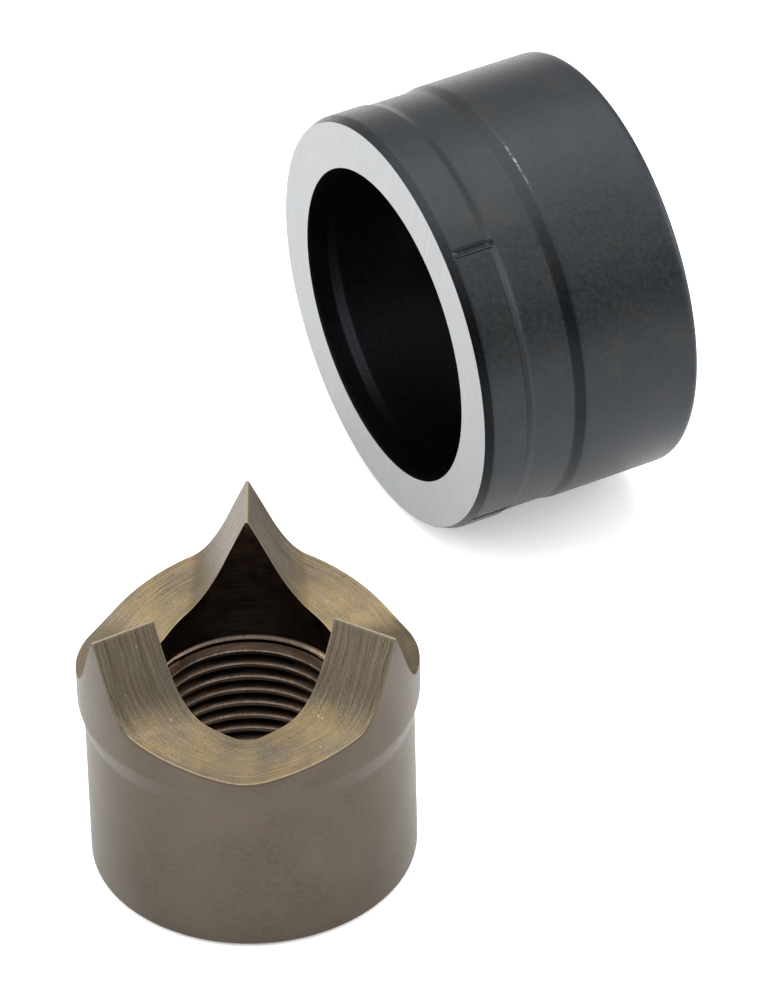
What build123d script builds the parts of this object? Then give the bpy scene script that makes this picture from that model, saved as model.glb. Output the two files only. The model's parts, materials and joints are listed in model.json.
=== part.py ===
from build123d import *
import os
from math import atan2, cos, radians, sin, tan

# Knockout punch: a three-point punch and the die that it is drawn into, in millimetres.
# The punch stands on its base at the origin, with its axis along +Z and one point towards +Y.
# The die lies on its side on the same floor, behind the punch and to its right.

# The hole that the pair cuts, and the gap between the cutting edges
hole_diameter = 32.5
cutting_clearance = 0.15

# The draw stud's thread: 3/4 inch, 16 threads to the inch
stud_diameter = 19.05
tap_drill_diameter = 17.5

# Punch, from the base upwards
thread_length = 17.45
shoulder_height = 19.0
head_land = 1.45
crown_rise = 10.55
body_relief = 0.6
relief_length = 2.2
counterbore_clearance = 0.2
punch_base_chamfer = 0.4
thread_exit_chamfer = 0.5

# Crown: flanks run level along their ridge, floors fall to the middle of the valley
point_count = 3
flank_slope = 65.0
floor_slope = 12.7
ridge_land = 0.25
flank_reach = 2.0  # how far the straight part of a flank goes, square to its ridge
corner_blend = 3.3  # height over which flank and floor run into each other
valley_blend = 2.05  # half the width of the round in the middle, along the rim
cutter_overrun = 1.0
cutter_start = 0.66  # share of the counterbore's radius where a cutter begins, in the open bore
section_count = 5
points_per_half = 9

# Die, from the ground face towards the back
die_length = 24.0
face_diameter = 42.4
front_band_diameter = 43.2
waist_diameter = 42.8
barrel_diameter = 43.3
front_chamfer_length = 0.95
front_band_length = 3.7
fine_step_length = 0.8
waist_length = 4.7
shoulder_length = 1.2
back_round = 0.8
cutting_land = 2.2
bore_relief = 0.5
relief_cone_length = 1.2
back_wall = 5.0
cavity_corner_chamfer = 1.0
stud_hole_clearance = 0.5
stud_hole_chamfer = 0.6

# Alignment marks on the front band of the die
mark_count = 4
mark_width = 0.8
mark_depth = 0.3

# Where the die lies: the middle of its ground face, the heading of its axis, and its roll
die_face_x = 12.8
die_face_y = 53.4
die_heading = 28.0
die_roll = 51.2

head_radius = hole_diameter / 2
valley_height = shoulder_height + head_land
tip_height = valley_height + crown_rise
counterbore_radius = stud_diameter / 2 + counterbore_clearance
die_bore_radius = head_radius + cutting_clearance
half_pitch = radians(180 / point_count)
lid_height = tip_height + cutter_overrun


def turned(points):
    """Solid turned about Z from a closed outline of (radius, height) points."""
    outline = Polyline(*[(radius, 0, height) for radius, height in points], close=True)
    return revolve(make_face(outline), Axis.Z)


def flank_height(distance):
    """Height of a flank at a distance from the middle of its ridge."""
    return tip_height - tan(radians(flank_slope)) * (distance - ridge_land / 2)


def floor_height(angle):
    """Height of a valley's floor at an angle from the middle of the valley."""
    arc = head_radius * angle
    rise = arc ** 2 / (2 * valley_blend) if arc < valley_blend else arc - valley_blend / 2
    return valley_height + tan(radians(floor_slope)) * rise


def crown_height(x, y):
    """Height of half a valley over a point, with x along the valley and y away from its middle.

    The higher of flank and floor counts. Where the two are nearly level, a round is added that fades
    out as they part.
    """
    flank = flank_height(x * sin(half_pitch) - y * cos(half_pitch))
    floor = floor_height(atan2(y, x))
    overlap = max(0, corner_blend - abs(flank - floor))
    return max(flank, floor) + overlap ** 2 / (4 * corner_blend)


def valley_section(x):
    """Closed outline of a valley cutter in the plane x, from where one straight flank ends to the other."""
    side = x * tan(half_pitch) - flank_reach / cos(half_pitch)
    places = [side * index / points_per_half for index in range(points_per_half + 1)]
    half = [(x, y, crown_height(x, y)) for y in places]
    mirrored = [(x, -y, z) for _, y, z in reversed(half)]
    slope = tan(radians(flank_slope)) * cos(half_pitch)
    right = Spline(*half, tangents=[(0, 1, 0), (0, 1, slope)])
    left = Spline(*mirrored, tangents=[(0, 1, -slope), (0, 1, 0)])
    lid = Polyline(half[-1], (x, side, lid_height), (x, -side, lid_height), mirrored[0])
    return Wire([left, right] + lid.edges())


def flank_wedge(near, far):
    """What a cutter takes away along the ridge that lies over the X axis, on its left."""
    overshoot = ridge_land / 2 - cutter_overrun / tan(radians(flank_slope))
    outline = Polyline(
        (near, flank_reach, flank_height(flank_reach)),
        (near, flank_reach + cutter_overrun, lid_height),
        (near, overshoot, lid_height),
        close=True)
    return extrude(make_face(outline), amount=far - near, dir=(1, 0, 0))


def make_punch():
    """Turned blank with a stud thread up its middle, and one milled valley between each two points."""
    bore = tap_drill_diameter / 2
    body = head_radius - body_relief
    blank = turned([
        (bore + thread_exit_chamfer, 0),
        (body - punch_base_chamfer, 0),
        (body, punch_base_chamfer),
        (body, shoulder_height - relief_length),
        (head_radius, shoulder_height),
        (head_radius, tip_height),
        (counterbore_radius, tip_height),
        (counterbore_radius, thread_length),
        (bore, thread_length - (counterbore_radius - bore)),
        (bore, thread_exit_chamfer),
    ])
    near = cutter_start * counterbore_radius
    far = head_radius + cutter_overrun
    step = (far - near) / (section_count - 1)
    cutter = Solid.make_loft([valley_section(near + step * index) for index in range(section_count)])
    left_wedge = flank_wedge(near, far)
    right_wedge = mirror(left_wedge, Plane.XZ)
    for index in range(point_count):
        ridge = 90 + 360 / point_count * index
        blank -= Rot(Z=ridge) * left_wedge
        blank -= Rot(Z=ridge) * right_wedge
        blank -= Rot(Z=ridge + 180 / point_count) * cutter
    return blank


def die_blank():
    """Turned cup: stepped outside, short cutting land, wider cavity for the slug, wall with a stud hole."""
    cavity = die_bore_radius + bore_relief
    stud_hole = stud_diameter / 2 + stud_hole_clearance
    floor = die_length - back_wall
    fine_step = front_chamfer_length + front_band_length
    waist = fine_step + fine_step_length
    shoulder = waist + waist_length
    blank = turned([
        (die_bore_radius, 0),
        (face_diameter / 2, 0),
        (front_band_diameter / 2, front_chamfer_length),
        (front_band_diameter / 2, fine_step),
        (waist_diameter / 2, waist),
        (waist_diameter / 2, shoulder),
        (barrel_diameter / 2, shoulder + shoulder_length),
        (barrel_diameter / 2, die_length),
        (stud_hole + stud_hole_chamfer, die_length),
        (stud_hole, die_length - stud_hole_chamfer),
        (stud_hole, floor + stud_hole_chamfer),
        (stud_hole + stud_hole_chamfer, floor),
        (cavity - cavity_corner_chamfer, floor),
        (cavity, floor - cavity_corner_chamfer),
        (cavity, cutting_land + relief_cone_length),
        (die_bore_radius, cutting_land),
    ])
    back_edge = blank.edges().filter_by(GeomType.CIRCLE).sort_by(
        lambda circle: abs(circle.radius - barrel_diameter / 2) + abs(circle.center().Z - die_length))[0]
    return fillet(back_edge, back_round)


def make_die():
    """The cup with its alignment marks, laid on its side where its barrel touches the floor."""
    die = die_blank()
    mark_end = front_chamfer_length + front_band_length + fine_step_length
    mark_floor = front_band_diameter / 2 - mark_depth
    mark = Pos(X=mark_floor, Z=front_chamfer_length) * Box(
        front_band_diameter, mark_width, mark_end - front_chamfer_length,
        align=(Align.MIN, Align.CENTER, Align.MIN))
    for index in range(mark_count):
        die -= Rot(Z=360 / mark_count * index) * mark

    heading = radians(die_heading)
    axis = Vector(cos(heading), sin(heading), 0)
    towards_viewer = Vector(sin(heading), -cos(heading), 0)
    bed = Plane(origin=(die_face_x, die_face_y, barrel_diameter / 2), x_dir=towards_viewer, z_dir=axis)
    return bed.location * Rot(Z=-die_roll) * die


parts = {"punch": make_punch(), "die": make_die()}
os.makedirs("parts", exist_ok=True)
for name, solid in parts.items():
    export_step(solid, f"parts/{name}.step")
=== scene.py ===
# %% [markdown]
# # A knockout punch and its die
#
# A knockout punch cuts a round hole in sheet metal. The punch has a crown of three points, which
# start the cut, and the die is the cup that the punch is drawn into. Both are single pieces of tool
# steel, so nearly all that the eye gets comes from how the steel was worked: turned, milled, bored,
# tapped, ground, tempered and blackened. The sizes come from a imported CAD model, the frame. Each of
# its two solids gets a finer surface in its place, and stays where it is.

# %% Load the frame
import json
import math

import bpy
import numpy as np
from mathutils import Matrix, Vector


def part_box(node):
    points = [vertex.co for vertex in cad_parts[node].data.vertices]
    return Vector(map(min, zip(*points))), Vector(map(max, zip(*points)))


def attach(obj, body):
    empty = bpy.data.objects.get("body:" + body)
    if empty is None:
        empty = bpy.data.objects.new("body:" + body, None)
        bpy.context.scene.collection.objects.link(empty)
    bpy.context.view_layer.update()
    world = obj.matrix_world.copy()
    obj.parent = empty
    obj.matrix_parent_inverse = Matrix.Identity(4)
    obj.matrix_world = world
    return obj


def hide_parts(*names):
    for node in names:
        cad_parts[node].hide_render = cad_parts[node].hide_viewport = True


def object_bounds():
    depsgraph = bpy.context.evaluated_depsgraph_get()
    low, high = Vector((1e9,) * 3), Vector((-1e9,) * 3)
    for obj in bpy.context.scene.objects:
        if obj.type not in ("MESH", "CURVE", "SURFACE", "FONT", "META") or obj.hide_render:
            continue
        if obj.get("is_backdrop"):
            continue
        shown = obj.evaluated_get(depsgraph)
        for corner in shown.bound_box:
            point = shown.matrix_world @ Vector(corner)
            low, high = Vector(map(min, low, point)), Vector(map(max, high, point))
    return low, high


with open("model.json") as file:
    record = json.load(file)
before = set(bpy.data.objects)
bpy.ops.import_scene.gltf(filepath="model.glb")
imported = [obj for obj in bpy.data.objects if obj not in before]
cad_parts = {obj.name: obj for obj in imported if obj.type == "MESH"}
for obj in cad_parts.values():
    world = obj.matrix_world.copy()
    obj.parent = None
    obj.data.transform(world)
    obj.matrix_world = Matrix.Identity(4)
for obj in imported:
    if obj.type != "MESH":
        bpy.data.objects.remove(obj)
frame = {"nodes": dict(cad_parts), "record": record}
cad_low, cad_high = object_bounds()
mounts = {mount["name"]: mount for mount in frame["record"]["mounts"]}
print("frame:", sorted(frame["nodes"]), "box", [round(v, 4) for v in (*cad_low, *cad_high)])

# %% [markdown]
# ## Working in millimetres
#
# Blender holds this scene in metres, and machinists think in millimetres. The shapes below are
# worked out in millimetres and turned to metres once, when a mesh is made. The main sizes are read
# back from the frame, so that the finer surfaces fit the solids that they stand for.

# %% Sizes of the punch
MM = 0.001
punch_low, punch_high = (np.array(corner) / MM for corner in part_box("punch"))
head_radius = (punch_high[0] - punch_low[0]) / 2
tip_height = punch_high[2]
minor_radius = mounts["punch_thread"]["dims"]["r_mm"]
print(f"head radius {head_radius:.2f}, tip {tip_height:.2f}, thread's minor radius {minor_radius} mm")

# %% Sizes and place of the die
stud_hole = mounts["die_stud_hole"]
die_axis = np.array(stud_hole["axis"])
die_stud_hole_radius = stud_hole["dims"]["r_mm"]
on_axis = np.array(stud_hole["pos_m"]) / MM
ground_face = np.array(mounts["die_ground_face"]["pos_m"]) / MM
back_face = np.array(mounts["die_back_face"]["pos_m"]) / MM
die_start = on_axis + die_axis * ((ground_face - on_axis) @ die_axis)
die_length = (back_face - ground_face) @ die_axis
barrel_radius = (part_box("die")[1].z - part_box("die")[0].z) / 2 / MM
print(f"die length {die_length:.2f}, barrel radius {barrel_radius:.2f} mm")

# %% [markdown]
# ## The camera
#
# The picture was taken from about 38 degrees above the floor through a long lens, which keeps the
# two pieces nearly free of perspective. Blender's sensor width belongs to the long side of the
# picture, here its height, so the lens length is the focal length in pixels times 36 mm over 1000.
# The camera's matrix is built from the direction that it looks in and the direction that is up.

# %% Camera
picture_height = 1000
focal_pixels = 7434.57
sensor_mm = 36.0
camera_place = np.array([20.855, -544.131, 463.829])
pitch_down = math.radians(37.846)
heading = math.radians(0.8007)
roll = math.radians(-1.3597)

forward = np.array([-math.sin(heading) * math.cos(pitch_down),
                    math.cos(heading) * math.cos(pitch_down), -math.sin(pitch_down)])
level = np.array([math.cos(heading), math.sin(heading), 0.0])
upward = np.cross(level, forward)
across = math.cos(roll) * level + math.sin(roll) * upward
upright = math.cos(roll) * upward - math.sin(roll) * level

camera_data = bpy.data.cameras.new("camera")
camera_data.sensor_width = sensor_mm
camera_data.lens = focal_pixels / picture_height * sensor_mm
camera_data.clip_start, camera_data.clip_end = 0.05, 20.0
camera = bpy.data.objects.new("camera", camera_data)
bpy.context.scene.collection.objects.link(camera)
turn = Matrix([across, upright, -forward]).transposed().to_4x4()
camera.matrix_world = Matrix.Translation(Vector(camera_place * MM)) @ turn
bpy.context.scene.camera = camera
print(f"camera {np.linalg.norm(camera_place):.0f} mm from the punch, lens {camera_data.lens:.1f} mm")

# %% [markdown]
# ## Colours and shader nodes
#
# A colour picked from a picture is in sRGB, a curve made for screens, but light adds up linearly, so
# one function turns each hex value to linear. A second function adds a shader node with its settings
# and its links. An input may be a number, a colour, or another node, and so a pattern reads like a
# formula from the inside outwards.

# %% Colours
def linear(hex_colour):
    """Linear RGBA from an sRGB hex value: c/12.92 near black, ((c + 0.055)/1.055)^2.4 elsewhere."""
    value = np.array([int(hex_colour[i:i + 2], 16) for i in (1, 3, 5)]) / 255
    curve = np.where(value <= 0.04045, value / 12.92, ((value + 0.055) / 1.055) ** 2.4)
    return (*curve.tolist(), 1.0)


print("a screen's middle grey is", round(linear("#808080")[0], 3), "in linear light")

# %% Shader nodes
def feed(tree, node, inputs):
    """Fill a node's sockets, found by name, with numbers, colours, or what another node gives."""
    for name, value in inputs.items():
        socket = [s for s in node.inputs if s.enabled and name in (s.name, s.identifier)][0]
        if isinstance(value, bpy.types.Node):
            value = [s for s in value.outputs if s.enabled][0]
        if isinstance(value, bpy.types.NodeSocket):
            tree.links.new(value, socket)
        else:
            socket.default_value = value


def add(tree, kind, inputs=None, **settings):
    """Add a shader node. Settings are its own options, inputs are values or nodes for its sockets."""
    node = tree.nodes.new("ShaderNode" + kind)
    for name, value in settings.items():
        setattr(node, name, value)
    feed(tree, node, inputs or {})
    return node


# %% [markdown]
# ## Floor and light
#
# The two pieces stand on white paper on a light table, which glows a little and so keeps the shadows
# soft. Bare metal shows what stands round it more than its own colour, so the white room is not even:
# it is brightest overhead and behind the pieces and dim where a photographer would stand. That puts
# a darker band down the middle of each round piece.

# %% Floor
floor_size = 6.0
floor_height = -0.02 * MM  # a hair below the pieces, so that no two surfaces share a plane
paper_glow = 0.33
floor_corners = [(x * floor_size, y * floor_size, floor_height)
                 for x, y in ((-1, -1), (1, -1), (1, 1), (-1, 1))]
floor_mesh = bpy.data.meshes.new("floor")
floor_mesh.from_pydata(floor_corners, [], [(0, 1, 2, 3)])
floor = bpy.data.objects.new("floor", floor_mesh)
bpy.context.scene.collection.objects.link(floor)
floor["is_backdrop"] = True

# Uncoated paper lit from below: matt, and white with next to no shading
floor_finish = bpy.data.materials.new("white_paper_on_light_table")
floor_finish.use_nodes = True
paper = floor_finish.node_tree.nodes["Principled BSDF"]
feed(floor_finish.node_tree, paper, {
    "Base Color": linear("#f4f4f4"), "Roughness": 0.9,
    "Emission Color": linear("#ffffff"), "Emission Strength": paper_glow})
floor_mesh.materials.append(floor_finish)
print("floor", 2 * floor_size, "m across")

# %% Room
dim_side, bright_side, ceiling_glow = 0.12, 0.75, 1.1
world = bpy.data.worlds.new("studio")
bpy.context.scene.world = world
world.use_nodes = True
room = world.node_tree
direction = add(room, "SeparateXYZ", {"Vector": add(room, "TexCoord").outputs["Generated"]})
front = add(room, "MapRange", {"Value": direction.outputs["Y"], "From Min": -1.0, "From Max": 0.3,
                               "To Min": dim_side, "To Max": bright_side})
ceiling = add(room, "MapRange", {"Value": direction.outputs["Z"], "From Min": 0.1, "From Max": 1.0,
                                 "To Min": 0.0, "To Max": ceiling_glow},
              interpolation_type="SMOOTHSTEP")
glow = add(room, "Math", {"Value": front, "Value_001": ceiling}, operation="ADD")
feed(room, room.nodes["Background"], {"Color": linear("#ffffff"), "Strength": glow})
print("room from", dim_side, "in front to", bright_side + ceiling_glow, "overhead")


# %% Lamps
def softbox(name, place, target, size, watts):
    """A square area lamp of this size in metres, aimed from its place at a target."""
    lamp = bpy.data.lights.new(name, "AREA")
    lamp.shape = "SQUARE"
    lamp.size = size
    lamp.energy = watts
    box = bpy.data.objects.new(name, lamp)
    bpy.context.scene.collection.objects.link(box)
    box.location = place
    box.rotation_mode = "QUATERNION"
    box.rotation_quaternion = (Vector(target) - Vector(place)).to_track_quat("-Z", "Y")


middle = (0.015, 0.03, 0.015)
softbox("overhead", (0.0, 0.25, 0.9), middle, 1.0, 5.5)
softbox("left", (-0.9, 0.0, 0.35), middle, 0.6, 6.1)
softbox("right", (0.9, 0.1, 0.35), middle, 0.6, 5.4)
bpy.context.scene.view_settings.view_transform = "Standard"
print("lamps:", [light.name for light in bpy.data.lights])

# %% [markdown]
# ## A mesh from a grid
#
# Both pieces are turned, so both are one profile carried round an axis. Their points make a grid:
# one column for each angle, one row for each point of the profile. A closed turned solid with a hole
# through it is a ring both ways, so the last column joins the first and the last row joins the
# first, and no seam or pole is left open.

# %% Faces of a grid
def ring_quads(rows):
    """Faces between the rows of a grid of point numbers, closed round its columns.

    Each face joins point (row, column) to its neighbours in the next column and the next row.
    """
    right = np.roll(rows, -1, axis=1)
    return np.stack([rows[:-1], right[:-1], right[1:], rows[1:]], axis=-1).reshape(-1, 4)


def signed_volume(points, blocks):
    """Volume inside closed faces: a sixth of the sum of a . (b x c) over their triangles."""
    total = 0.0
    for block in blocks:
        for k in range(1, block.shape[1] - 1):
            a, b, c = points[block[:, 0]], points[block[:, k]], points[block[:, k + 1]]
            total += np.einsum("ij,ij->i", a, np.cross(b, c)).sum() / 6
    return total


print("three rows of four points make", len(ring_quads(np.arange(12).reshape(3, 4))), "faces")

# %% [markdown]
# Each corner of a face also gets its place on the unrolled surface, as a UV map, so that a finish
# can be laid along the tool's path. A share of a turn runs from 0 to 1, and a face that crosses the
# seam gets shares past 1, so that it isn't squeezed across the whole map. Numbers for wear and the
# like are kept at the points, as attributes.

# %% Unrolled map
def map_unrolled(mesh, unrolled):
    """Give each face corner its point's place on the unrolled surface, in shares and in metres.

    Within a face, a share more than half a turn below the largest one gets a whole turn added.
    """
    owner = np.empty(len(mesh.loops), np.int32)
    mesh.loops.foreach_get("vertex_index", owner)
    sides = np.empty(len(mesh.polygons), np.int32)
    mesh.polygons.foreach_get("loop_total", sides)
    face_of_corner = np.repeat(np.arange(len(sides)), sides)
    share = unrolled[owner, 0]
    largest = np.zeros(len(sides))
    np.maximum.at(largest, face_of_corner, share)
    share = np.where(largest[face_of_corner] - share > 0.5, share + 1, share)
    place = np.stack([share, unrolled[owner, 1] * MM], axis=-1)
    layer = mesh.uv_layers.new(name="unrolled")
    layer.uv.foreach_set("vector", place.ravel().astype(np.float32))
    print(f"{mesh.name}: its profile is {np.ptp(unrolled[:, 1]):.0f} mm long when unrolled")


# %% Mesh with finishes and marks
sharp_angle = 32


def make_piece(name, points, faces, finishes, finish_of_face, unrolled, marks):
    """Mesh object in metres from points in millimetres.

    faces is a list of arrays of point numbers. unrolled holds the place of each point on the unrolled
    surface, in shares of a turn and in millimetres. marks holds one number per point for each name.
    """
    corners = [face for block in faces for face in block.tolist()]
    mesh = bpy.data.meshes.new(name)
    mesh.from_pydata((points * MM).tolist(), [], corners)
    for finish in finishes:
        mesh.materials.append(finish)
    mesh.polygons.foreach_set("material_index", finish_of_face.astype(np.int32))
    mesh.polygons.foreach_set("use_smooth", np.ones(len(corners), bool))
    map_unrolled(mesh, unrolled)
    for mark, values in marks.items():
        attribute = mesh.attributes.new(mark, "FLOAT", "POINT")
        attribute.data.foreach_set("value", values.astype(np.float32))

    mesh.validate()
    mesh.set_sharp_from_angle(angle=math.radians(sharp_angle))
    piece = bpy.data.objects.new(name, mesh)
    bpy.context.scene.collection.objects.link(piece)
    triangles = sum(len(block) * (block.shape[1] - 2) for block in faces)
    volume = signed_volume(points, faces)
    print(f"{name}: {len(points)} points, {triangles} triangles, {volume:.0f} mm3")
    return piece


# %% [markdown]
# ## Rounded outlines
#
# The corners that a lathe tool leaves are never quite sharp, and a round of a tenth of a millimetre
# is enough to catch a line of light. Blender's Bevel modifier could cut them, but in a profile it
# takes one formula, and the size of each round can be chosen corner by corner.

# %% Rounded outline
def rounded_profile(corners, radii, longest, steps):
    """Points along an outline of (radius, height) corners, and the run that each point belongs to.

    Each corner is rounded by a parabola whose control point is the corner itself: the mean
    (1-t)^2 start + 2t(1-t) corner + t^2 end. Long straight runs get points at even steps.
    """
    corners = np.array(corners, float)
    out, run = [corners[:1]], [np.zeros(1, int)]
    for i in range(1, len(corners)):
        start, end = corners[i - 1], corners[i]
        length = np.linalg.norm(end - start)
        along = (end - start) / length
        first = start + along * min(radii[i - 1], length / 2)
        last = end - along * min(radii[i], length / 2)
        count = max(1, math.ceil(np.linalg.norm(last - first) / longest))
        t = np.linspace(0, 1, count + 1)[:, None]
        straight = first + (last - first) * t
        out.append(straight if radii[i - 1] > 0 else straight[1:])
        run.append(np.full(len(out[-1]), i - 1))
        if radii[i] > 0 and i < len(corners) - 1:
            onward = corners[i + 1] - end
            distance = np.linalg.norm(onward)
            onward = end + onward / distance * min(radii[i], distance / 2)
            t = np.linspace(0, 1, steps + 1)[1:-1, None]
            out.append((1 - t) ** 2 * last + 2 * t * (1 - t) * end + t ** 2 * onward)
            run.append(np.full(len(out[-1]), i))
    return np.concatenate(out), np.concatenate(run)


sample, _ = rounded_profile([(0, 0), (1, 0), (1, 1)], [0, 0.2, 0], longest=1.0, steps=4)
print("one rounded corner takes", len(sample), "points")

# %% [markdown]
# ## The crown
#
# The three points are what is left between three milled valleys. Each flank is a plane that runs
# level along its ridge, so its height depends on the distance from the ridge. Each floor is level
# along any line from the axis and falls towards the middle of the valley, so its height depends on
# the angle. The higher of the two counts, and where they are nearly level a round is added, as wide
# in height as corner_blend, that fades out as they part.

# %% Crown height
shoulder_height = 19.0
head_land = 1.45
valley_height = shoulder_height + head_land
flank_slope = math.tan(math.radians(65.0))
floor_slope = math.tan(math.radians(12.7))
ridge_land = 0.25
corner_blend = 3.3
valley_blend = 2.05
half_sector = math.pi / 3


def crown_height(radius, from_ridge):
    """Height of the crown at a radius and an angle from the nearest ridge, both arrays.

    Flank: the tip's height less the slope times the distance from the ridge's edge. Floor: a parabola
    in the middle of the valley, then a steady slope along the rim. Round: a quarter of the square of
    what the two heights lack to being one blend apart, over the blend.
    """
    flank = tip_height - flank_slope * (radius * np.sin(from_ridge) - ridge_land / 2)
    arc = head_radius * (half_sector - from_ridge)
    rise = np.where(arc < valley_blend, arc ** 2 / (2 * valley_blend), arc - valley_blend / 2)
    floor = valley_height + floor_slope * rise
    lack = np.maximum(0, corner_blend - np.abs(flank - floor))
    return np.minimum(np.maximum(flank, floor) + lack ** 2 / (4 * corner_blend), tip_height)


rim_heights = crown_height(head_radius, half_sector * np.array([0, 0.5, 1]))
print("rim of the crown at a ridge, half way and in a valley:", np.round(rim_heights, 2), "mm")

# %% [markdown]
# The columns crowd together near each ridge, where the height changes fast, and thin out over the
# floors. Close to a ridge they run along it, at a steady distance, so that its narrow land stays
# straight. Further off they spread out evenly to the middle of the valley.

# %% Columns round the punch
columns_per_half_valley = 80
crowding = 1.5
first_ridge = 330.0
along_ridge = 5.0
land_angle = math.asin(ridge_land / 2 / head_radius)
half_valley = half_sector * np.linspace(0, 1, columns_per_half_valley + 1) ** crowding
half_valley[np.argmin(np.abs(half_valley - land_angle))] = land_angle


def column_angles(radius):
    """Angles from the ridge, at this radius, of the columns of half a valley.

    Up to along_ridge millimetres from the ridge the sine of the angle goes as one over the radius.
    The rest of the columns share out what is left of the half valley in even proportion.
    """
    limit = np.arcsin(along_ridge / np.array([head_radius, radius]))
    near = np.arcsin(np.minimum(head_radius * np.sin(half_valley) / radius, 1))
    shrink = (half_sector - limit[1]) / (half_sector - limit[0])
    far = half_sector - (half_sector - half_valley) * shrink
    return np.where(half_valley < limit[0], near, far)


def whole_turn(values, mirrored):
    """Values of half a valley carried round the punch: up to the middle, back again, three times."""
    back = 2 * half_sector - values[:0:-1] if mirrored else values[:0:-1]
    sector = np.concatenate([values[:-1], back])
    steps = 2 * half_sector * np.arange(3)[:, None] if mirrored else np.zeros((3, 1))
    return (sector + steps).ravel()


outer_turn = whole_turn(half_valley, True)
valley_of_column = (outer_turn // (2 * half_sector) + 1e-9).astype(int)
print(len(outer_turn), "columns round the punch")

# %% [markdown]
# ## The outside of the punch
#
# From the underside outwards and up: a flat base, a small chamfer, the plain body, a short cone out
# to the head, and the head's side, which goes on up to the crown's rim.

# %% Body profile
base_bore = 9.65
body_radius = head_radius - 0.6
relief_length = 2.2
base_chamfer = 0.4
side_start = valley_height - 0.4
body_corners = [
    (base_bore, 0), (body_radius - base_chamfer, 0), (body_radius, base_chamfer),
    (body_radius, shoulder_height - relief_length), (head_radius, shoulder_height),
    (head_radius, side_start)]
body_rounds = [0, 0.12, 0.12, 0.25, 0.25, 0]
body_points, _ = rounded_profile(body_corners, body_rounds, longest=4.0, steps=3)
print(len(body_points), "rows from the bore to the head")

# %% [markdown]
# ## The milled top
#
# An end mill leaves fine grooves that follow its path, here circles about the axis. They are real
# grooves in the mesh: a row of the crown every tenth of a millimetre, each pushed a little up or
# down. A groove is not the same all the way: its depth wanders between values set every few degrees.
# Grooves are deepest near the outside, where the cutter bounced, and most of all at a flank's foot.
# There its chatter left broader steps too, three rows wide, and more of them on one flank than on
# the others.

# %% Crown rows
counterbore_radius = 9.725
edge_round = 0.07
crown_row_count = 64
crown_radii = np.linspace(head_radius - edge_round, counterbore_radius + edge_round, crown_row_count)
crown_half = np.array([column_angles(radius) for radius in crown_radii])
crown_turn = np.array([whole_turn(row, True) for row in crown_half])
crown_from_ridge = np.array([whole_turn(row, False) for row in crown_half])
print("crown rows", round(crown_radii[0] - crown_radii[1], 3), "mm apart")

# %% Where the cutter bounced
calm_radius, rough_width, calm_share, roughening = 13.0, 3.0, 0.12, 1.5
foot_distance, foot_width, foot_gain = 3.6, 1.6, 2.2
rough_share = np.clip((crown_radii - calm_radius) / rough_width, calm_share, 1)[:, None]
rough_share = rough_share ** roughening
foot = whole_turn(np.exp(-((half_valley * head_radius - foot_distance) / foot_width) ** 2), False)
print(f"grooves are {1 + foot_gain:.1f} times as deep at the foot of a flank")

# %% Grooves and chatter
groove_depth, groove_seed = 0.018, 7
wandering, steady = 0.6, 0.6
anchors_per_half = 6
chatter_depth, chatter_rows = 0.09, 3
chatter_of_flank = [0.3, 0.3, 0.3, 0.6, 1.2, 0.4]

random = np.random.default_rng(groove_seed)
anchor = np.linspace(0, half_sector, anchors_per_half)
row_level = random.uniform(-1, 1, (crown_row_count, 3))
wander = []
for _ in range(6):
    levels = random.uniform(-1, 1, (crown_row_count, anchors_per_half))
    wander.append(np.array([np.interp(half_valley, anchor, row) for row in levels]))
wander = np.concatenate([side for i in (0, 2, 4)
                         for side in (wander[i][:, :-1], wander[i + 1][:, :0:-1])], axis=1)
grooves = wandering * wander + steady * row_level[:, valley_of_column]
grooves *= groove_depth * rough_share * (1 + foot_gain * foot)

bounce = random.uniform(-1, 1, crown_row_count // chatter_rows + 1)
bounce = np.repeat(bounce, chatter_rows)[:crown_row_count, None]
chatter = bounce * np.repeat(chatter_of_flank, columns_per_half_valley) * foot
grooves += chatter_depth * rough_share * chatter
print("from the lowest to the highest groove", round(float(np.ptp(grooves)), 3), "mm")

# %% Grooved crown
land_margin, land_drop, least_drop = 0.02, 0.004, 0.01
crown_z = crown_height(crown_radii[:, None], crown_from_ridge)
on_land = crown_z > tip_height - land_margin
grooved_z = np.minimum(crown_z + grooves, tip_height - least_drop)
crown_z = np.where(on_land, tip_height - land_drop, grooved_z)
print("crown from", round(float(crown_z.min()), 2), "to", round(float(crown_z.max()), 2), "mm")

# %% [markdown]
# The rows of the body, the rim, the crown, the inner rim and the counterbore's wall are stacked into
# one grid. Each row carries its own angles, because those of the crown's rows depend on the radius.
# The two rims are rounded by one row each, a little off the corner.

# %% Rows from the base to the mouth of the thread
TURNED, MILLED, BORED = 0, 1, 2
mouth_height = 17.45
head_rows, wall_rows = 4, 10
off_corner = 0.3 * edge_round
inner_turn = whole_turn(column_angles(counterbore_radius), True)
rows_r, rows_z, rows_turn, rows_finish = [], [], [], []


def put_rows(radius, height, turn, finish):
    """Add rows to the punch's profile: radius, height and turn are grids of rows by columns."""
    shape = (max(len(radius), len(height)), len(outer_turn))
    for rows, values in ((rows_r, radius), (rows_z, height), (rows_turn, turn)):
        rows.append(np.broadcast_to(values, shape))
    rows_finish.append(np.full(shape[0], finish))


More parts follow.
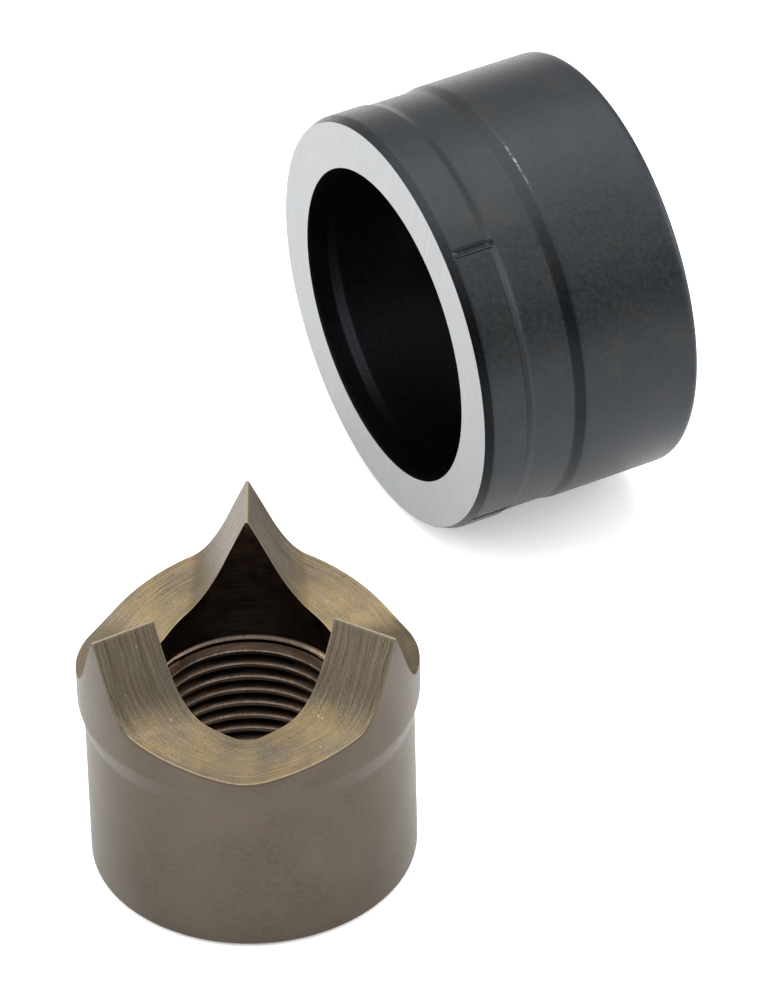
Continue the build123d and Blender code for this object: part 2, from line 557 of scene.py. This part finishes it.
head_wall, bore_wall = np.full((1, 1), head_radius), np.full((1, 1), counterbore_radius)
rim_foot, wall_top = crown_z[0] - edge_round, crown_z[-1] - edge_round
up_head = np.linspace(0, 1, head_rows + 1)[1:, None]
down_wall = np.linspace(0, 1, wall_rows)[:, None]
put_rows(body_points[:1, :1], body_points[:1, 1:], inner_turn, TURNED)
put_rows(body_points[1:, :1], body_points[1:, 1:], outer_turn, TURNED)
put_rows(head_wall, side_start + (rim_foot - side_start) * up_head, outer_turn, TURNED)
put_rows(head_wall - off_corner, (crown_z[0] - off_corner)[None], outer_turn, MILLED)
put_rows(crown_radii[:, None], crown_z, crown_turn, MILLED)
put_rows(bore_wall + off_corner, (crown_z[-1] - off_corner)[None], inner_turn, MILLED)
put_rows(bore_wall, wall_top + (mouth_height - wall_top) * down_wall, inner_turn, BORED)
profile_r, profile_z, profile_turn = (np.concatenate(rows) for rows in (rows_r, rows_z, rows_turn))
profile_finish = np.concatenate(rows_finish)
print(len(profile_r), "rows from the base to the mouth of the thread")

# %% [markdown]
# ## The thread
#
# A tap cut a 3/4 inch thread with 16 turns to the inch. Its groove climbs by one pitch each turn, so
# a grid of level rows would cross it at a slant and show a staircase. The rows of this grid climb
# with the thread instead. Where the last column meets the first, each row has climbed to where the
# row one turn further on began, and they are joined with that shift. The rows that are left over at
# the two ends are squeezed against the level rims and closed by a fan of small triangles.

# %% Thread shape
pitch = 25.4 / 16
major_radius = 19.05 / 2
crest_half = 0.17
flank_angle = 30
flank_width = (major_radius - minor_radius) * math.tan(math.radians(flank_angle))
crest_height_at_back = 6.47
turn_to_back = ((90 - first_ridge) % 360) / 360
first_crest = (crest_height_at_back / pitch - turn_to_back) % 1 * pitch


def hole_radius(height, turn):
    """Radius of the threaded hole at a height and a share of a turn.

    The distance to the nearest crest gives the thread's own radius: the minor radius on the crest,
    the major radius in the groove, and a straight flank between them. Where a cone at either end of
    the hole is wider than that, the cone is left.
    """
    crest = (height - first_crest) / pitch - turn
    away = np.abs(crest - np.round(crest)) * pitch
    thread = np.interp(away, [crest_half, crest_half + flank_width], [minor_radius, major_radius])
    exit_cone = base_bore - height
    mouth_cone = counterbore_radius - (mouth_height - height)
    return np.maximum(thread, np.maximum(exit_cone, mouth_cone))


print(f"pitch {pitch:.4f}, flanks {flank_width:.3f} mm wide, first crest at {first_crest:.2f} mm")

# %% Thread rows
end_gap = 0.03
share_of_turn = inner_turn / (2 * math.pi)
corner = np.array([crest_half, crest_half + flank_width]) / pitch
halfway = corner.mean()
upper_half = [1 - corner[1], 1 - halfway, 1 - corner[0]]
in_one_pitch = np.array([0, corner[0], halfway, corner[1], 0.5, *upper_half])
per_pitch = len(in_one_pitch)
all_turns = (np.arange(-2, 14)[:, None] + in_one_pitch).ravel()
heights = first_crest + pitch * all_turns
heights = heights[(heights > end_gap) & (heights + pitch < mouth_height - end_gap)]
climb = heights[:, None] + pitch * share_of_turn
fraction = np.linspace(0, 1, per_pitch + 1)[:, None]
below = climb[:1] * fraction[:-1]
above = climb[-1:] + (mouth_height - climb[-1:]) * fraction[1:]
thread_z = np.concatenate([below, climb, above])
thread_r = hole_radius(thread_z, share_of_turn)
thread_r[0], thread_r[-1] = base_bore, counterbore_radius
print(f"{len(thread_z)} rows in the thread, {len(heights) / per_pitch:.1f} pitches climb freely")

# %% [markdown]
# Now the two grids are put together. The thread's first and last rows are the profile's own first
# and last rows, so the two share their points there.

# %% Points of the punch
inner_z, inner_r = thread_z[1:-1], thread_r[1:-1]
profile_number = np.arange(profile_r.size).reshape(profile_r.shape)
thread_number = profile_r.size + np.arange(inner_r.size).reshape(inner_r.shape)
thread_number = np.concatenate([profile_number[:1], thread_number, profile_number[-1:]])
radius = np.concatenate([profile_r.ravel(), inner_r.ravel()])
height = np.concatenate([profile_z.ravel(), inner_z.ravel()])
turn = np.concatenate([profile_turn.ravel(), np.tile(inner_turn, len(inner_r))])
angle = math.radians(first_ridge) + turn
punch_points = np.stack([radius * np.cos(angle), radius * np.sin(angle), height], axis=-1)
print(len(punch_points), "points,", inner_r.size, "of them in the thread")

# %% Faces of the punch
top = len(thread_number) - 1
left, right = thread_number[:, :-1], thread_number[:, 1:]
thread_quads = np.stack([left[:-1], left[1:], right[1:], right[:-1]], axis=-1).reshape(-1, 4)
last, first = thread_number[:, -1], thread_number[:, 0]
shift = np.arange(top - per_pitch)
seam = np.stack([last[shift], last[shift + 1],
                 first[shift + 1 + per_pitch], first[shift + per_pitch]], axis=-1)
low = np.arange(per_pitch)
low_fan = np.stack([np.full(per_pitch, last[0]), first[low + 1], first[low]], axis=-1)
high = top - per_pitch + low
high_fan = np.stack([last[high], last[high + 1], np.full(per_pitch, first[top])], axis=-1)

faces = [ring_quads(profile_number), thread_quads, seam, low_fan, high_fan]
row_finish = np.maximum(profile_finish[:-1], profile_finish[1:])
face_finish = np.concatenate([np.repeat(row_finish, len(outer_turn)),
                              np.full(sum(len(block) for block in faces[1:]), BORED)])
print(len(seam), "faces across the thread's seam,", 2 * per_pitch, "in its two fans")

# %% [markdown]
# ## Steel of the punch
#
# The punch is hardened tool steel that was tempered, which grows a thin brown oxide on it. All of it
# is metal, so the base colour is the colour of its reflections. Three finishes share that steel. The
# turned sides are smooth and a little cloudy from the oxide. The milled crown has grooves in circles
# about the axis, and its floors, where the oxide is thinnest, are straw-coloured. The bore is dark
# brown, because its oxide was never rubbed off. Painted shade makes its wall, its thread's groove and
# a band below its mouth nearly black.
#
# Every pattern is a noise whose lumps have a size in millimetres. To draw a noise out along the
# tool's path, the place that it reads is first unrolled: far apart along the path and close together
# across it.

# %% Patterns for worked steel
def pattern(tree, place, size_mm, low=0.3, high=0.7, most=1.0, detail=3.0, roughness=0.5):
    """Soft random pattern from 0 to most, with lumps about size_mm across.

    low and high are the levels of the noise that become 0 and most, so close levels give hard lumps.
    """
    noise = add(tree, "TexNoise", {"Vector": place, "Scale": 1 / (size_mm * MM), "Detail": detail,
                                   "Roughness": roughness})
    return add(tree, "MapRange", {"Value": noise, "From Min": low, "From Max": high,
                                  "To Min": 0.0, "To Max": most})


def marked(tree, name, low=0.0, high=1.0, most=1.0):
    """The number that the mesh carries at each point, with low..high stretched to 0..most."""
    mark = add(tree, "Attribute", attribute_name=name).outputs["Fac"]
    return add(tree, "MapRange", {"Value": mark, "From Min": low, "From Max": high,
                                  "To Min": 0.0, "To Max": most})


def layered(tree, base, *layers):
    """Colour of a base hex with layers over it, each an amount from 0 to 1 and a hex."""
    colour = linear(base)
    for amount, over in layers:
        colour = add(tree, "Mix", {"Factor": amount, "A": colour, "B": linear(over)},
                     data_type="RGBA")
    return colour


# %% Patterns that follow the tool
IN_LUMPS = 1 / MM  # size_mm for places that already count in lumps
sway_size = 4.0


def round_axis(tree, place, along_mm, tool_mm, radial, sway=0.0):
    """Place on an unrolled turned surface, for patterns drawn out along the tool's path round Z.

    The direction from the axis, drawn out to along_mm, is joined by the radius or the height over
    tool_mm. It has no seam, as an angle would. sway shifts the path by a slow noise, in tool widths.
    """
    part = add(tree, "SeparateXYZ", {"Vector": place})
    flat = add(tree, "CombineXYZ", {"X": part.outputs["X"], "Y": part.outputs["Y"], "Z": 0.0})
    radius = add(tree, "VectorMath", {"Vector": flat}, operation="LENGTH").outputs["Value"]
    unit = add(tree, "VectorMath", {"Vector": flat}, operation="NORMALIZE")
    unit = add(tree, "SeparateXYZ", {"Vector": unit})
    slow = add(tree, "TexNoise", {"Vector": place, "Scale": 1 / (sway_size * MM)})
    across = add(tree, "Math", {"Value": radius if radial else part.outputs["Z"],
                                "Value_001": 1 / (tool_mm * MM)}, operation="MULTIPLY")
    across = add(tree, "Math", {"Value": slow, "Value_001": sway, "Value_002": across},
                 operation="MULTIPLY_ADD")
    along = [add(tree, "Math", {"Value": unit.outputs[axis], "Value_001": head_radius / along_mm},
                 operation="MULTIPLY") for axis in "XY"]
    return add(tree, "CombineXYZ", {"X": along[0], "Y": along[1], "Z": across})


# %% A worked metal
def worked_metal(name, build):
    """Metal material. build adds its pattern to the tree and gives colour, roughness and relief.

    Roughness is the pattern between two numbers. Relief is a pattern and its height in millimetres.
    """
    finish = bpy.data.materials.new(name)
    finish.use_nodes = True
    tree = finish.node_tree
    place = add(tree, "TexCoord").outputs["Object"]
    colour, (smooth, rough, cloud), (relief, height_mm) = build(tree, place)
    roughness = add(tree, "MapRange", {"Value": cloud, "To Min": smooth, "To Max": rough})
    bump = add(tree, "Bump", {"Height": relief, "Strength": 1.0, "Distance": height_mm * MM})
    feed(tree, tree.nodes["Principled BSDF"], {
        "Base Color": colour, "Roughness": roughness, "Normal": bump, "Metallic": 1.0})
    print(name, "has", len(tree.nodes), "nodes")
    return finish


# %% Tempered steel, turned
def turned(tree, place):
    """Fine-turned tool steel under a thin brown oxide, which gives a satin with soft clouds.

    A finishing cut leaves lines 0.13 mm apart. Just below the milled rim a thin dark-brown line is
    painted shadow.
    """
    clouds = pattern(tree, place, 7.0, 0.35, 0.65)
    grain = pattern(tree, place, 0.45, roughness=0.6)
    light_grain = add(tree, "Math", {"Value": grain, "Value_001": 0.6}, operation="MULTIPLY")
    # Painted shadow: a thin dark-brown line just below the milled rim
    painted_rim_shadow = marked(tree, "below_rim", 0.4, 0.05, 0.7)
    colour = layered(tree, "#524b42", (clouds, "#484138"), (light_grain, "#5c5349"),
                     (painted_rim_shadow, "#43372d"))
    lines = pattern(tree, round_axis(tree, place, 30.0, 0.13, False), IN_LUMPS, 0.0, 1.0, detail=2.0)
    relief = add(tree, "Math", {"Value": grain, "Value_001": 0.4, "Value_002": lines},
                 operation="MULTIPLY_ADD")
    return colour, (0.40, 0.50, grain), (relief, 0.008)


tempered_steel_turned = worked_metal("tempered_tool_steel_fine_turned", turned)


# %% Tempered steel, milled
def milled(tree, place):
    """The same steel cut by an end mill: grooved, speckled, brown-grey with straw-coloured floors.

    The cutter's marks are 0.17 mm wide, with broader waves of 0.9 mm, and sway off true circles.
    Straw starts below 24.5 mm and is full from 22.5 mm down. Nicks and ridges are bare and pale.
    """
    streaks = pattern(tree, round_axis(tree, place, 6.0, 0.17, True, 5.0), IN_LUMPS, roughness=0.65)
    broad = pattern(tree, round_axis(tree, place, 12.0, 0.9, True, 1.5), IN_LUMPS, detail=2.0)
    height = add(tree, "SeparateXYZ", {"Vector": place}).outputs["Z"]
    low = add(tree, "MapRange", {"Value": height, "From Min": 24.5 * MM, "From Max": 22.5 * MM,
                                 "To Min": 0.0, "To Max": 1.0})
    straw = add(tree, "Math", {"Value": pattern(tree, place, 3.5, 0.3, 0.75, 0.75),
                               "Value_001": low}, operation="MULTIPLY")
    grey_patches = pattern(tree, place, 2.2, 0.5, 0.75, 0.5)
    dark_specks = pattern(tree, place, 0.16, 0.55, 0.75, 0.7, roughness=0.6)
    nicks = pattern(tree, place, 0.7, 0.72, 0.78, 0.5, detail=2.0)
    colour = layered(tree, "#50483d", (streaks, "#726858"), (straw, "#877350"),
                     (grey_patches, "#6b6459"), (dark_specks, "#3f372c"), (nicks, "#b0a48c"),
                     (marked(tree, "worn"), "#968b76"))
    speckle = pattern(tree, place, 0.16, 0.35, 0.7, roughness=0.6)
    relief = add(tree, "Math", {"Value": broad, "Value_001": 0.7, "Value_002": streaks},
                 operation="MULTIPLY_ADD")
    relief = add(tree, "Math", {"Value": speckle, "Value_001": 0.35, "Value_002": relief},
                 operation="MULTIPLY_ADD")
    return colour, (0.38, 0.54, speckle), (relief, 0.020)


tempered_steel_milled = worked_metal("tempered_tool_steel_end_milled", milled)


# %% Tempered steel, bored and tapped
def bored(tree, place):
    """The bore and its thread: dark oxide, pale where the tap tore the steel at the mouth.

    Painted shade makes it nearly black in the thread's groove, on the counterbore's wall and in a
    band below the mouth, and a painted highlight runs along the upper edge of each crest. Torn edges
    and the highlight are where the number at a point is more than a noise with teeth 0.5 mm long.
    """
    clouds = pattern(tree, place, 1.6, 0.35, 0.65)
    streaks = pattern(tree, round_axis(tree, place, 5.0, 0.2, False, 1.0), IN_LUMPS, 0.45, 0.75,
                      roughness=0.6)
    teeth = pattern(tree, round_axis(tree, place, 0.5, 0.7, False), IN_LUMPS, 0.2, 0.8, 0.5,
                    roughness=0.75)
    torn_and_highlit = add(tree, "Math", {"Value": marked(tree, "worn"), "Value_001": teeth},
               operation="SUBTRACT")
    pale_layer = add(tree, "MapRange", {"Value": torn_and_highlit, "From Min": 0.02, "From Max": 0.45,
                                  "To Min": 0.0, "To Max": 1.0})
    rubbed = add(tree, "Math", {"Value": streaks, "Value_001": 0.5}, operation="MULTIPLY")
    soot = marked(tree, "soot", 0.0, 1.0, 0.75)
    # 181210 is painted shade in the groove, on the wall and below the mouth; the pale layer is torn
    # steel at the mouth and a painted highlight on the crests
    colour = layered(tree, "#40362f", (clouds, "#55402f"), (rubbed, "#665c53"),
                     (soot, "#181210"), (pale_layer, "#72665b"))
    return colour, (0.30, 0.42, clouds), (streaks, 0.012)


tempered_steel_bored = worked_metal("tempered_tool_steel_bored_and_tapped", bored)

# %% [markdown]
# ## Wear, painted highlight and painted shade of the punch
#
# A noise alone can't know where the edges are, so the mesh tells it. Each point carries one number
# for wear and painted highlight, one for how far it lies below the rim and one for painted shade, and
# the finishes read these numbers. Wear is strongest on the ridges, on the two rims of the crown and
# at the thread's mouth. Along the upper edge of each crest of the thread the same number is a painted
# highlight. Both fall off as a bell curve of the distance from the edge. Painted shade lies in the
# thread's groove, darker the deeper it goes, on the counterbore's wall and in a band below the mouth.

# %% Wear on the crown
ridge_wear, ridge_wear_width = 0.75, 0.13
rim_wear, rim_wear_width = 0.5, 0.08
from_ridge = np.abs((profile_turn + half_sector) % (2 * half_sector) - half_sector)
ridge_distance = profile_r * np.sin(from_ridge)
rim_distance = np.maximum(np.minimum(head_radius - profile_r, profile_r - counterbore_radius), 0)
near_ridge = ridge_wear * np.exp(-(ridge_distance / ridge_wear_width) ** 2)
near_rim = rim_wear * np.exp(-(rim_distance / rim_wear_width) ** 2)
on_crown = (profile_finish == MILLED)[:, None]
profile_worn = np.where(on_crown, np.maximum(near_ridge, near_rim), 0.0)
print("most wear on the crown", round(float(profile_worn.max()), 2))

# %% Wear and painted highlight in the thread
crest_highlight, crest_highlight_width = 0.62, 0.08
mouth_wear, mouth_wear_depth = 0.95, 0.6
from_crest = (inner_z - first_crest) / pitch - share_of_turn
from_crest = (from_crest - np.round(from_crest)) * pitch
# Painted highlight: a pale line along the upper edge of each crest of the thread
crest_painted_highlight = crest_highlight * np.exp(-((from_crest - crest_half) / crest_highlight_width) ** 2)
crest_painted_highlight = crest_painted_highlight * (inner_r < minor_radius + 0.05)
below_mouth = mouth_height - inner_z
mouth_band = np.clip(mouth_wear - below_mouth / mouth_wear_depth, 0, 1)
worn = np.concatenate([profile_worn.ravel(), np.maximum(crest_painted_highlight, mouth_band).ravel()])
print(int(np.sum(worn > 0.1)), "points of", worn.size, "are worn")

# %% Painted shade in the bore
wall_shade, band_shade, clean_mouth = 0.8, 0.75, 0.9
# Painted shade: darker the deeper a point lies in the thread's groove, below the clean mouth, and
# also over a band below the mouth and the whole counterbore wall
groove_share = np.clip((inner_r - minor_radius) / (major_radius - minor_radius), 0, 1)
band = np.interp(below_mouth, [0.3, 0.75, 1.5, 2.2], [0, 1, 1, 0])
thread_shade = np.maximum(groove_share * (below_mouth > clean_mouth), band_shade * band)
wall = np.where(profile_finish == BORED, wall_shade, 0.0).repeat(len(outer_turn))
soot = np.concatenate([wall, thread_shade.ravel()])
print("mean soot in the thread", round(float(thread_shade.mean()), 2))

# %% The punch as one piece
far_below = 9.0
rim_above = np.tile(crown_z[0], len(profile_r))
below_rim = np.concatenate([rim_above - profile_z.ravel(), np.full(inner_r.size, far_below)])
steps = np.hypot(np.diff(profile_r[:, 0], prepend=base_bore), np.diff(profile_z[:, 0], prepend=0))
walk = np.concatenate([np.repeat(np.cumsum(steps), len(outer_turn)), -inner_z.ravel()])
unrolled = np.stack([turn / (2 * math.pi), walk], axis=-1)

punch = make_piece("punch_turned_and_milled", punch_points, faces,
                   [tempered_steel_turned, tempered_steel_milled, tempered_steel_bored],
                   face_finish, unrolled, {"below_rim": below_rim, "worn": worn, "soot": soot})
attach(punch, "punch")
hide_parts("punch")

# %% [markdown]
# ## The die
#
# The die is a turned cup. Its ground front face meets a short cutting land, then the bore widens so
# that the cut slugs fall free, and a back wall has a hole for the draw stud. The outside has a front
# chamfer, a front band, a fine step, a waist and the barrel. Four marks cut across the front band
# help to line the die up with a cross scribed on the sheet.

# %% Die profile
bore_radius = head_radius + 0.15
cavity_radius = bore_radius + 0.5
cutting_land, relief_cone = 2.2, 1.2
face_radius, band_radius, waist_radius = 21.2, 21.6, 21.4
front_chamfer, front_band, fine_step, waist, shoulder = 0.95, 3.7, 0.8, 4.7, 1.2
back_wall, cavity_corner, stud_chamfer, back_round = 5.0, 1.0, 0.6, 0.8
step_start = front_chamfer + front_band
waist_start = step_start + fine_step
shoulder_start = waist_start + waist
cavity_floor = die_length - back_wall

die_corners = [
    (bore_radius, 0), (face_radius, 0), (band_radius, front_chamfer), (band_radius, step_start),
    (waist_radius, waist_start), (waist_radius, shoulder_start),
    (barrel_radius, shoulder_start + shoulder),
    (barrel_radius, die_length), (die_stud_hole_radius + stud_chamfer, die_length),
    (die_stud_hole_radius, die_length - stud_chamfer),
    (die_stud_hole_radius, cavity_floor + stud_chamfer),
    (die_stud_hole_radius + stud_chamfer, cavity_floor),
    (cavity_radius - cavity_corner, cavity_floor),
    (cavity_radius, cavity_floor - cavity_corner), (cavity_radius, cutting_land + relief_cone),
    (bore_radius, cutting_land), (bore_radius, 0)]
die_rounds = [0, 0.06, 0.15, 0.2, 0.3, 0.25, 0.25, back_round, 0.1, 0.1, 0.1, 0.1, 0.3, 0.3, 0.25,
              0.15, 0]
die_points, die_run = rounded_profile(die_corners, die_rounds, longest=0.5, steps=5)
die_points, die_run = die_points[:-1], die_run[:-1]
print(len(die_points), "rows round the die's profile")

# %% [markdown]
# The marks are shallow grooves with sloping sides. Extra columns lie on their edges, and the surface
# is pushed in there by a smooth step along the mark and a steeper one across it.

# %% Columns round the die
mark_count = 4
mark_angle = 51.2
mark_width = 0.8
mark_depth = 0.3
plain_columns = 360
half_mark = math.degrees(mark_width / 2 / band_radius)
mark_spacing = 360 / mark_count
mark_middles = mark_angle + mark_spacing * np.arange(mark_count)
across_mark = half_mark * np.array([-1.35, -1.0, -0.7, -0.35, 0, 0.35, 0.7, 1.0, 1.35])
extra = (mark_middles[:, None] + across_mark).ravel() % 360
die_angles = np.concatenate([np.linspace(0, 360, plain_columns, endpoint=False), extra])
die_angles = np.unique(np.round(die_angles, 4))
from_mark = np.abs((die_angles - mark_angle + mark_spacing / 2) % mark_spacing - mark_spacing / 2)
mark_side = np.interp(from_mark / half_mark, [0.6, 1.15], [1.0, 0.0])
print(len(die_angles), "columns round the die")

# %% Points and faces of the die
die_r, die_a = die_points[:, :1], die_points[:, 1:]
outside = die_r > face_radius - 0.01
mark_ends = [front_chamfer - 0.15, front_chamfer + 0.25, waist_start - 0.35, waist_start]
mark_run = np.interp(die_a, mark_ends, [0, 1, 1, 0])
surface_r = die_r - mark_depth * mark_run * mark_side * outside
die_theta = np.radians(die_angles)[:, None]
sideways, upwards = np.cross(die_axis, [0, 0, 1]), np.array([0, 0, 1])
outwards = np.cos(die_theta) * sideways + np.sin(die_theta) * upwards
die_grid = die_start + die_a[..., None] * die_axis + surface_r[..., None] * outwards
die_number = np.arange(die_grid[..., 0].size).reshape(die_grid.shape[:2])
# Its profile runs round its material the other way than the punch's, so the faces are turned over
die_quads = ring_quads(np.concatenate([die_number, die_number[:1]]))[:, ::-1]
print(len(die_quads), "faces on the die")

# %% [markdown]
# ## Steel of the die
#
# The cup was blackened all over in a hot salt bath, which leaves a thin, slightly blue, satin oxide,
# and then its front face was ground bright again. The oxide hardly hides the steel: it is a dark
# metal with soft reflections. Corners that are handled lose it first and show pale flecks.

# %% Black oxide
def blackened(tree, place):
    """Turned steel with a black oxide: dark, satin, faintly blue, with brown clouds and fine grain.

    Painted shade makes it nearly black in the bore, marks and slopes; pale flecks show worn edges.
    """
    clouds = pattern(tree, place, 8.0, 0.4, 0.7)
    brown_clouds = pattern(tree, place, 5.0, 0.52, 0.7, 0.6)
    light_grain = pattern(tree, place, 0.5, 0.3, 0.7, 0.5, 4.0, 0.65)
    deep = marked(tree, "deep", 0.0, 1.0, 0.85)
    fleck = pattern(tree, place, 0.35, 0.42, 0.6, detail=2.0)
    pale_layer = add(tree, "Math", {"Value": marked(tree, "worn"), "Value_001": fleck},
               operation="MULTIPLY")
    # 0c0d0f is painted shade: darker in the bore, in the marks and on the slopes between the bands
    colour = layered(tree, "#2b2f32", (clouds, "#2f3135"), (brown_clouds, "#36342f"),
                     (light_grain, "#3b3e41"), (deep, "#0c0d0f"), (pale_layer, "#8d9090"))
    grain = pattern(tree, place, 0.5, detail=4.0, roughness=0.65)
    return colour, (0.36, 0.46, grain), (grain, 0.010)


black_oxide_steel = worked_metal("black_oxide_turned_steel", blackened)

# %% Ground face
grinding_lean = 16.0
scratch_width, scratch_length = 0.11, 12


def ground(tree, place):
    """Surface-ground bare steel: pale grey, with straight fine lines left by the wheel.

    Real scratches are finer. These are as narrow as a render from this far still shows.
    The place is turned so that X runs along the die's axis and Z up the face, leaning off the
    upright, and is then counted in scratches, narrow across them and long along them.
    """
    turn_to_face = (math.radians(grinding_lean), 0, math.atan2(die_axis[1], die_axis[0]))
    on_face = add(tree, "Mapping", {"Vector": place, "Location": tuple(die_start * MM),
                                    "Rotation": turn_to_face}, vector_type="TEXTURE")
    per_scratch = (1.0, 1 / (scratch_width * MM), 1 / (scratch_length * MM))
    drawn_out = add(tree, "VectorMath", {"Vector": on_face, "Vector_001": per_scratch},
                    operation="MULTIPLY")
    lines = pattern(tree, drawn_out, IN_LUMPS, roughness=0.6)
    patches = pattern(tree, place, 3.0, 0.4, 0.7, 0.4)
    colour = layered(tree, "#7d7f81", (lines, "#959799"), (patches, "#888785"))
    return colour, (0.30, 0.44, lines), (lines, 0.012)


ground_steel = worked_metal("surface_ground_bare_steel", ground)

# %% [markdown]
# ## Wear and painted shade of the die
#
# The die carries two numbers at its points. The first is high on a few stretches of the corner
# between the shoulder and the barrel, where the oxide has chipped off. The second is painted shade:
# how much darker the oxide is drawn in the bore, in the marks, and on the slopes between the bands.
# On the outside it fades out towards the top of the die, so that the top is lighter.

# %% Wear of the shoulder's corner
shoulder_corner = np.array(die_corners[6])
chip_width = 0.075
worn_stretches = [(71.0, 6.0, 1.0), (128.0, 3.0, 0.6), (214.0, 9.0, 0.8), (305.0, 5.0, 0.9)]
stretch = sum(amount * np.exp(-((die_angles - middle_angle) / half_width) ** 2)
              for middle_angle, half_width, amount in worn_stretches)
distance = np.linalg.norm(die_points - shoulder_corner, axis=1)
die_worn = np.exp(-(distance / chip_width) ** 2)[:, None] * stretch
print(int(np.sum(die_worn > 0.1)), "points of the die are worn")

# %% Painted shade on the die
# Painted shade for each run of the profile and in the marks; on the outside it fades towards the top,
# so that the top is lighter
shade_of_run = np.array([0, 0.9, 0, 0.5, 0, 0.7, 0, 0, 0.5, 0.8, 0.9, 0.9, 0.9, 0.9, 0.9, 1.0])
shade_in_marks = 0.3
shade_fades_from, shade_fades_to, shade_at_top = 33.0, 40.0, 0.3
shade_left = np.interp(die_grid[..., 2], [shade_fades_from, shade_fades_to], [1.0, shade_at_top])
die_painted_shade = shade_of_run[die_run][:, None] * np.where(outside, shade_left, 1.0)
die_painted_shade = np.maximum(die_painted_shade, shade_in_marks * mark_run * mark_side * outside)
print("mean depth of the oxide", round(float(die_painted_shade.mean()), 2))

# %% The die as one piece
GROUND_RUN = 0
steps = np.hypot(*np.diff(die_points, prepend=[[bore_radius, 0]], axis=0).T)
die_unrolled = np.stack([np.tile(die_angles / 360, len(die_points)),
                         np.repeat(np.cumsum(steps), len(die_angles))], axis=-1)
die_finish = np.repeat(np.where(die_run == GROUND_RUN, 1, 0), len(die_angles))

die = make_piece("die_blackened_cup", die_grid.reshape(-1, 3), [die_quads],
                 [black_oxide_steel, ground_steel], die_finish, die_unrolled,
                 {"worn": die_worn.ravel(), "deep": die_painted_shade.ravel()})
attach(die, "die")
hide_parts("die")

# %% [markdown]
# ## Sizes
#
# The two boxes are written out, the CAD's and the scene's, to see that the looks changed no size.

# %% Write the sizes and finish
seen_low, seen_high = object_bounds()
change = [(b - a) / MM for a, b in zip((*cad_low, *cad_high), (*seen_low, *seen_high))]
print("sizes differ by", [round(value, 3) for value in change], "mm")
